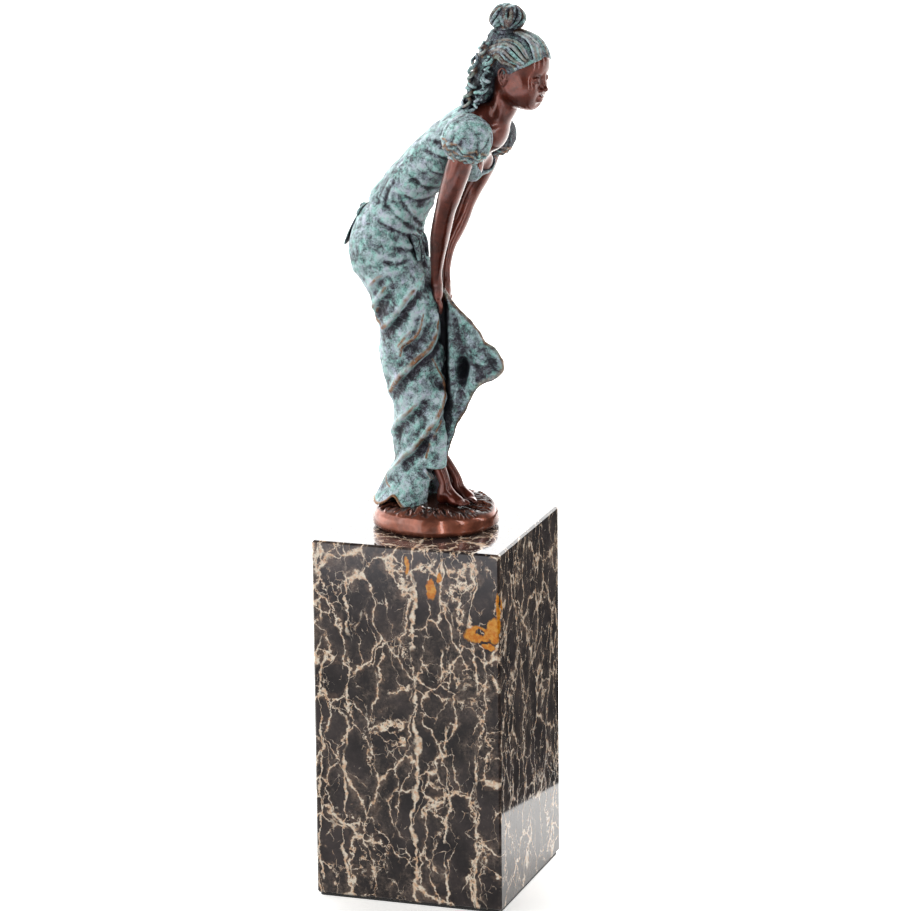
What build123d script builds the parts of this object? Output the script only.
"""Bronze statuette of a leaning girl in a wind-blown dress, on a tall marble block.

The girl stands on a small round casting of grassy ground and leans forward, with both hands
between her knees to hold her skirt down. The bronze is cast in sections that are joined along
costume edges. A threaded rod in the ground casting goes down through the marble block and is
clamped by a nut in a recess, which the felt sheet closes.

Row frame in millimetres: +Z up, the origin is the centre of the felt's underside, the girl
faces +X and her right side faces -Y.
"""

from build123d import *
import os
from math import cos, radians, sin

# ---- marble block and its fixing ----
FELT_THICKNESS = 1.0
FELT_INSET = 0.8
FELT_CORNER_R = 2.0
BLOCK_WIDTH = 79.0
BLOCK_TOP = 150.0
BLOCK_CHAMFER = 0.8
ROD_R = 3.0
ROD_BOTTOM = 5.0
ROD_HOLE_R = 4.0
RECESS_R = 14.0
RECESS_TOP = 17.0
WASHER_R = 11.0
WASHER_THICKNESS = 1.6
NUT_HEIGHT = 5.0
NUT_FLATS = 10.0
THREAD_GAP = 0.05

# ---- ground casting ----
GROUND_R = 25.0
GROUND_FOOT_R = 23.5
GROUND_HEIGHT = 10.5
BOSS_R = 7.0
BOSS_DEPTH = 7.5

# ---- walls and registers of the castings ----
WALL = 2.6
REGISTER_GAP = 0.05
TENON_R = 1.6
TENON_LENGTH = 3.5
RIGHT_TENON = (5.0, -7.8)
LEFT_TENON = (10.5, 0.4)

# ---- sections ----
# Each section is an ellipse: the x, y and z of its centre, its half length from front to back,
# its half width from side to side, and the degrees that its plane tips down at the front.
WAIST_SECTION = (-11.8, 0, 283.5, 10.6, 12.8, 36)
SKIRT_SECTIONS = [
    (-15.0, 0, 156.6, 11.8, 12.8, 0),
    (-12.6, 0, 164.0, 9.8, 11.6, 0),
    (-9.6, 0, 171.0, 9.4, 10.6, 0),
    (-6.8, 0, 178.0, 9.6, 10.6, 0),
    (-6.6, 0, 187.0, 10.8, 11.5, 0),
    (-6.2, 0, 197.0, 10.6, 12.5, 0),
    (-7.6, 0, 208.0, 11.2, 13.5, 0),
    (-9.4, 0, 219.5, 12.4, 14.5, 0),
    (-9.3, 0, 230.0, 12.0, 15.5, 0),
    (-11.4, 0, 241.0, 13.2, 16.5, 0),
    (-14.4, 0, 250.5, 14.0, 17.3, 0),
    (-19.0, 0, 261.5, 13.4, 17.8, 5),
    (-18.6, 0, 272.0, 12.4, 16.2, 17),
    WAIST_SECTION,
]
BODICE_SECTIONS = [
    WAIST_SECTION,
    (-6.2, 0, 290.8, 10.6, 13.4, 41),
    (3.0, 0, 297.5, 11.8, 15.0, 44),
    (12.6, 0, 304.5, 12.0, 16.0, 42),
    (18.6, 0, 311.0, 8.6, 13.0, 40),
    (22.6, 0, 316.0, 6.0, 6.6, 38),
]
FOLD_SECTIONS = [
    (6.5, 0.5, 246.0, 2.4, 2.6, 0),
    (7.6, 0.5, 240.0, 5.4, 3.2, 0),
    (10.0, 0.5, 233.0, 8.8, 3.8, 0),
    (12.0, 0.5, 226.5, 11.0, 4.0, 0),
    (15.4, 0.5, 219.0, 14.0, 3.2, 0),
    (12.2, 0.5, 211.5, 9.6, 3.4, 0),
    (8.6, 0.5, 204.0, 7.0, 3.6, 0),
    (6.0, 0.5, 195.0, 6.0, 3.8, 0),
    (3.0, 0.5, 184.5, 4.4, 3.6, 0),
    (1.6, 0.5, 177.0, 2.6, 3.0, 0),
]
NECK_SECTIONS = [
    (22.6, 0, 316.0, 5.4, 5.8, 38),
    (26.6, 0, 321.0, 5.2, 5.4, 34),
    (30.4, 0, 326.5, 5.8, 6.0, 28),
    (34.0, 0, 333.0, 7.0, 7.0, 16),
]
HEAD_SECTIONS = [
    (43.4, 0, 322.4, 2.6, 3.0, 0),
    (41.4, 0, 326.4, 6.6, 6.0, 0),
    (38.6, 0, 331.6, 10.0, 8.6, 0),
    (36.6, 0, 337.6, 12.4, 10.0, 0),
    (35.8, 0, 343.2, 12.4, 10.0, 0),
    (35.0, 0, 348.4, 9.6, 8.0, 0),
    (34.6, 0, 351.6, 4.6, 4.2, 0),
]
HAIR_SECTIONS = [
    (15.6, 0, 320.4, 3.2, 5.0, 0),
    (18.6, 0, 325.4, 5.2, 8.4, 0),
    (22.6, 0, 331.5, 7.6, 10.6, 0),
    (28.6, 0, 338.5, 12.0, 11.6, 0),
    (32.4, 0, 344.5, 14.0, 11.4, 0),
    (33.8, 0, 349.8, 11.6, 9.4, 0),
    (33.6, 0, 353.4, 6.0, 5.2, 0),
]
RIGHT_ARM_SECTIONS = [
    (18.0, -17.0, 306.0, 5.0, 4.8, 16),
    (14.2, -17.4, 293.5, 4.5, 4.3, 20),
    (10.6, -16.0, 284.4, 3.8, 3.8, 20),
    (7.6, -12.4, 273.5, 3.5, 3.4, 16),
    (5.0, -8.6, 264.0, 2.8, 2.9, 12),
    (3.4, -6.2, 255.0, 2.2, 2.9, 6),
    (3.2, -4.6, 246.5, 2.0, 3.2, 2),
    (3.6, -3.6, 239.0, 1.2, 2.2, 0),
]
LEFT_ARM_SECTIONS = [
    (18.0, 17.5, 300.0, 5.0, 4.8, 20),
    (13.4, 17.6, 288.5, 4.4, 4.3, 26),
    (9.4, 16.0, 279.0, 3.8, 3.8, 24),
    (6.4, 12.4, 269.5, 3.5, 3.4, 18),
    (4.8, 8.8, 261.0, 2.8, 2.9, 10),
    (4.2, 6.6, 253.0, 2.2, 2.9, 4),
    (4.6, 4.8, 245.0, 2.0, 3.2, 0),
    (5.4, 3.8, 238.0, 1.2, 2.2, 0),
]
RIGHT_FOOT_SECTIONS = [
    (-1.6, -6.6, 182.0, 3.4, 3.4, 4),
    (0.6, -7.2, 173.5, 2.9, 3.0, -8),
    (2.4, -7.6, 167.6, 4.4, 3.2, -30),
    (6.6, -7.9, 163.6, 3.2, 3.5, -60),
    (11.4, -8.1, 162.4, 2.1, 3.6, -78),
    (15.0, -8.2, 161.8, 1.3, 3.0, -86),
]
LEFT_FOOT_SECTIONS = [
    (1.4, 3.4, 182.0, 3.4, 3.4, 4),
    (5.2, 2.2, 173.5, 2.9, 3.0, -12),
    (8.0, 1.2, 167.6, 4.0, 3.2, -32),
    (11.6, 0.0, 163.8, 3.1, 3.4, -60),
    (15.6, -1.4, 162.4, 2.1, 3.5, -78),
    (18.8, -2.4, 161.8, 1.3, 2.9, -86),
]

# ---- puffed sleeves ----
# The outline is distance from the arm's axis against height along it, from the hem to the top.
SLEEVE_OUTLINE = [(6.4, 0), (9.6, 3.0), (10.6, 9.0), (8.6, 15.0), (4.4, 18.4)]
SLEEVE_TOP = 19.2
RIGHT_SLEEVE_HEM = (17.0, -17.2, 302.5)
RIGHT_SLEEVE_LEAN = 18
LEFT_SLEEVE_HEM = (16.4, 17.4, 295.5)
LEFT_SLEEVE_LEAN = 22

# ---- hair bun and hairline ----
BUN_CENTRE = (31.8, 0, 357.2)
BUN_OUTLINE = [(7.2, 0), (4.6, 5.2), (0, 6.6)]
HAIRLINE_POINT = (45.0, 0, 346.5)
HAIRLINE_LEAN = 42

# ---- sash: a bow with two hanging tails behind, and a loose end in front ----
BOW_CENTRE = (-28.6, 0, 279.6)
BOW_LEAN = 24
BOW_THICKNESS = 1.8
KNOT_R = 2.8
LOOP_REACH = 5.6
LOOP_SIZE = (4.6, 2.9)
LOOP_HOLE = (2.6, 1.2)
TAIL_TURN = 11
TAIL_OUTLINE = [(-1.6, 0), (1.6, 0), (2.8, 15.0), (0.2, 12.8), (-2.6, 16.0)]
FRONT_END_SECTIONS = [
    (-6.4, -2.0, 274.0, 2.4, 5.0, 0),
    (-3.6, -2.0, 267.0, 2.2, 4.4, 0),
    (-2.8, -2.0, 261.0, 1.2, 3.0, 0),
]


def section_plane(x, y, z, lean):
    """A plane at (x, y, z) whose front edge tips down by some degrees."""
    forward = (cos(radians(lean)), 0, -sin(radians(lean)))
    upward = (sin(radians(lean)), 0, cos(radians(lean)))
    return Plane(origin=(x, y, z), x_dir=forward, z_dir=upward)


def section_faces(sections, wall=0.0):
    """One elliptical face per section, each shrunk by the wall."""
    faces = []
    for x, y, z, half_length, half_width, lean in sections:
        with BuildSketch(section_plane(x, y, z, lean)) as section:
            Ellipse(half_length - wall, half_width - wall)
        faces.append(section.sketch.face())
    return faces


def puffed_sleeve(hem, lean, spread):
    """A gathered ball sleeve whose axis leans forward and away from the body."""
    axis = Vector(sin(radians(lean)), -sin(radians(spread)), cos(radians(lean)))
    with BuildPart() as sleeve:
        with BuildSketch(Plane.XZ):
            with BuildLine():
                Line((0, 0), SLEEVE_OUTLINE[0])
                Spline(*SLEEVE_OUTLINE, (0, SLEEVE_TOP), tangents=[(1, 0.3), (-1, 0)])
                Line((0, SLEEVE_TOP), (0, 0))
            make_face()
        revolve(axis=Axis.Z)
    return Plane(origin=hem, z_dir=axis) * sleeve.part


def write(part, label):
    """Names a finished piece and writes its STEP file."""
    part.label = label
    export_step(part, f"parts/{label}.step")


os.makedirs("parts", exist_ok=True)

# ---- marble block, felt and the fixing inside ----
with BuildPart() as marble_block:
    with BuildSketch(Plane.XY.offset(FELT_THICKNESS)):
        Rectangle(BLOCK_WIDTH, BLOCK_WIDTH)
    extrude(amount=BLOCK_TOP - FELT_THICKNESS)
    chamfer(marble_block.edges(), BLOCK_CHAMFER)
    with BuildSketch(Plane.XY.offset(FELT_THICKNESS)):
        Circle(RECESS_R)
    extrude(amount=RECESS_TOP - FELT_THICKNESS, mode=Mode.SUBTRACT)
    with BuildSketch(Plane.XY.offset(RECESS_TOP)):
        Circle(ROD_HOLE_R)
    extrude(amount=BLOCK_TOP - RECESS_TOP, mode=Mode.SUBTRACT)

with BuildPart() as felt_sheet:
    with BuildSketch():
        felt_width = BLOCK_WIDTH - 2 * FELT_INSET
        RectangleRounded(felt_width, felt_width, FELT_CORNER_R)
    extrude(amount=FELT_THICKNESS)

with BuildPart() as threaded_rod:
    with BuildSketch(Plane.XY.offset(ROD_BOTTOM)):
        Circle(ROD_R)
    extrude(amount=BLOCK_TOP + BOSS_DEPTH - ROD_BOTTOM)
    chamfer(threaded_rod.edges().filter_by(GeomType.CIRCLE), 0.6)

washer_bottom = RECESS_TOP - WASHER_THICKNESS
with BuildPart() as washer:
    with BuildSketch(Plane.XY.offset(washer_bottom)):
        Circle(WASHER_R)
        Circle(ROD_R + 0.2, mode=Mode.SUBTRACT)
    extrude(amount=WASHER_THICKNESS)

with BuildPart() as hex_nut:
    with BuildSketch(Plane.XY.offset(washer_bottom - NUT_HEIGHT)):
        RegularPolygon(NUT_FLATS / 2, 6, major_radius=False)
        Circle(NUT_FLATS / 2 + 0.45, mode=Mode.INTERSECT)
        Circle(ROD_R + THREAD_GAP, mode=Mode.SUBTRACT)
    extrude(amount=NUT_HEIGHT)

# ---- the figure's castings as whole forms, before they are fitted to each other ----
ground_top = BLOCK_TOP + GROUND_HEIGHT
with BuildPart() as ground_form:
    with BuildSketch(Plane.XZ):
        with BuildLine():
            Line((0, BLOCK_TOP), (GROUND_FOOT_R, BLOCK_TOP))
            Spline(
                (GROUND_FOOT_R, BLOCK_TOP),
                (GROUND_R, BLOCK_TOP + 3.5),
                (GROUND_R - 2.2, BLOCK_TOP + 7.6),
                (GROUND_R - 8.0, BLOCK_TOP + 9.8),
                (0, ground_top),
                tangents=[(0.6, 1), (-1, 0)],
            )
            Line((0, ground_top), (0, BLOCK_TOP))
        make_face()
    revolve(axis=Axis.Z)

with BuildPart() as skirt_form:
    loft(section_faces(SKIRT_SECTIONS))

with BuildPart() as bodice_form:
    loft(section_faces(BODICE_SECTIONS))

with BuildPart() as head_form:
    loft(section_faces(HEAD_SECTIONS))
    loft(section_faces(NECK_SECTIONS))

with BuildPart() as right_arm:
    loft(section_faces(RIGHT_ARM_SECTIONS))

with BuildPart() as left_arm:
    loft(section_faces(LEFT_ARM_SECTIONS))

right_sleeve_form = puffed_sleeve(RIGHT_SLEEVE_HEM, RIGHT_SLEEVE_LEAN, 4)
left_sleeve_form = puffed_sleeve(LEFT_SLEEVE_HEM, LEFT_SLEEVE_LEAN, -4)

# ---- feet, each with a tenon that is brazed into the ground ----
with BuildPart() as right_foot:
    loft(section_faces(RIGHT_FOOT_SECTIONS))
    split(bisect_by=Plane.XY.offset(ground_top + REGISTER_GAP), keep=Keep.TOP)
    with BuildSketch(Plane.XY.offset(ground_top - TENON_LENGTH)):
        with Locations(RIGHT_TENON):
            Circle(TENON_R)
    extrude(amount=TENON_LENGTH + 3)

with BuildPart() as left_foot:
    loft(section_faces(LEFT_FOOT_SECTIONS))
    split(bisect_by=Plane.XY.offset(ground_top + REGISTER_GAP), keep=Keep.TOP)
    with BuildSketch(Plane.XY.offset(ground_top - TENON_LENGTH)):
        with Locations(LEFT_TENON):
            Circle(TENON_R)
    extrude(amount=TENON_LENGTH + 3)

# ---- ground casting: hollow below, with a tapped boss for the rod and sockets for the feet ----
with BuildPart() as ground_casting:
    add(ground_form.part)
    with BuildSketch(Plane.XY.offset(BLOCK_TOP)):
        Circle(GROUND_FOOT_R - WALL)
        Circle(BOSS_R, mode=Mode.SUBTRACT)
    extrude(amount=GROUND_HEIGHT / 2, taper=12, mode=Mode.SUBTRACT)
    with BuildSketch(Plane.XY.offset(BLOCK_TOP)):
        Circle(ROD_R + THREAD_GAP)
    extrude(amount=BOSS_DEPTH, mode=Mode.SUBTRACT)
    with BuildSketch(Plane.XY.offset(ground_top - TENON_LENGTH - REGISTER_GAP)):
        with Locations(RIGHT_TENON, LEFT_TENON):
            Circle(TENON_R + REGISTER_GAP)
    extrude(amount=TENON_LENGTH + 1, mode=Mode.SUBTRACT)

# ---- skirt and bodice: hollow shells that meet at the waist ----
with BuildPart() as skirt_casting:
    add(skirt_form.part)
    loft(section_faces(SKIRT_SECTIONS, WALL), mode=Mode.SUBTRACT)
    add(ground_form.part, mode=Mode.SUBTRACT)
    add(right_foot.part, mode=Mode.SUBTRACT)
    add(left_foot.part, mode=Mode.SUBTRACT)

with BuildPart() as bodice_casting:
    add(bodice_form.part)
    loft(section_faces(BODICE_SECTIONS[:-1], WALL), mode=Mode.SUBTRACT)
    add(right_sleeve_form, mode=Mode.SUBTRACT)
    add(left_sleeve_form, mode=Mode.SUBTRACT)
    add(right_arm.part, mode=Mode.SUBTRACT)
    add(left_arm.part, mode=Mode.SUBTRACT)

with BuildPart() as right_sleeve:
    add(right_sleeve_form)
    add(right_arm.part, mode=Mode.SUBTRACT)

with BuildPart() as left_sleeve:
    add(left_sleeve_form)
    add(left_arm.part, mode=Mode.SUBTRACT)

with BuildPart() as skirt_front_fold:
    loft(section_faces(FOLD_SECTIONS))
    add(skirt_form.part, mode=Mode.SUBTRACT)
    add(right_arm.part, mode=Mode.SUBTRACT)
    add(left_arm.part, mode=Mode.SUBTRACT)
    add(right_foot.part, mode=Mode.SUBTRACT)
    add(left_foot.part, mode=Mode.SUBTRACT)

# ---- head, hair and bun ----
with BuildPart() as head_casting:
    add(head_form.part)

with BuildPart() as hair_casting:
    loft(section_faces(HAIR_SECTIONS))
    hairline_normal = (cos(radians(HAIRLINE_LEAN)), 0, -sin(radians(HAIRLINE_LEAN)))
    split(bisect_by=Plane(origin=HAIRLINE_POINT, z_dir=hairline_normal), keep=Keep.BOTTOM)
    add(head_form.part, mode=Mode.SUBTRACT)
    add(bodice_form.part, mode=Mode.SUBTRACT)

with BuildPart() as hair_bun:
    with BuildSketch(Plane.XZ):
        with BuildLine():
            Line((0, -BUN_OUTLINE[-1][1]), BUN_OUTLINE[-1])
            Spline(
                (0, -BUN_OUTLINE[-1][1]),
                (BUN_OUTLINE[1][0], -BUN_OUTLINE[1][1]),
                *BUN_OUTLINE,
                tangents=[(1, 0), (-1, 0)],
            )
        make_face()
    revolve(axis=Axis.Z)
hair_bun_placed = Pos(*BUN_CENTRE) * hair_bun.part - hair_casting.part - head_form.part

# ---- sash ----
bow_normal = (-cos(radians(BOW_LEAN)), 0, sin(radians(BOW_LEAN)))
bow_plane = Plane(origin=BOW_CENTRE, x_dir=(0, 1, 0), z_dir=bow_normal)
with BuildPart() as sash_bow:
    with BuildSketch(bow_plane):
        with Locations((-LOOP_REACH, 0), (LOOP_REACH, 0)):
            Ellipse(*LOOP_SIZE)
            Ellipse(*LOOP_HOLE, mode=Mode.SUBTRACT)
        Circle(KNOT_R)
    extrude(amount=BOW_THICKNESS)
    for turn in (-TAIL_TURN, TAIL_TURN):
        with BuildSketch(bow_plane.rotated((0, 0, turn))):
            with BuildLine():
                Polyline(*TAIL_OUTLINE, close=True)
            make_face()
        extrude(amount=BOW_THICKNESS)
    add(skirt_form.part, mode=Mode.SUBTRACT)
    add(bodice_form.part, mode=Mode.SUBTRACT)

with BuildPart() as sash_end:
    loft(section_faces(FRONT_END_SECTIONS))
    add(skirt_form.part, mode=Mode.SUBTRACT)

write(marble_block.part, "marble_block")
write(felt_sheet.part, "felt_sheet")
write(threaded_rod.part, "threaded_rod")
write(washer.part, "washer")
write(hex_nut.part, "hex_nut")
write(ground_casting.part, "ground_casting")
write(skirt_casting.part, "skirt_casting")
write(skirt_front_fold.part, "skirt_front_fold")
write(bodice_casting.part, "bodice_casting")
write(right_sleeve.part, "right_sleeve")
write(left_sleeve.part, "left_sleeve")
write(right_arm.part, "right_arm")
write(left_arm.part, "left_arm")
write(right_foot.part, "right_foot")
write(left_foot.part, "left_foot")
write(head_casting.part, "head_casting")
write(hair_casting.part, "hair_casting")
write(hair_bun_placed, "hair_bun")
write(sash_bow.part, "sash_bow")
write(sash_end.part, "sash_end")
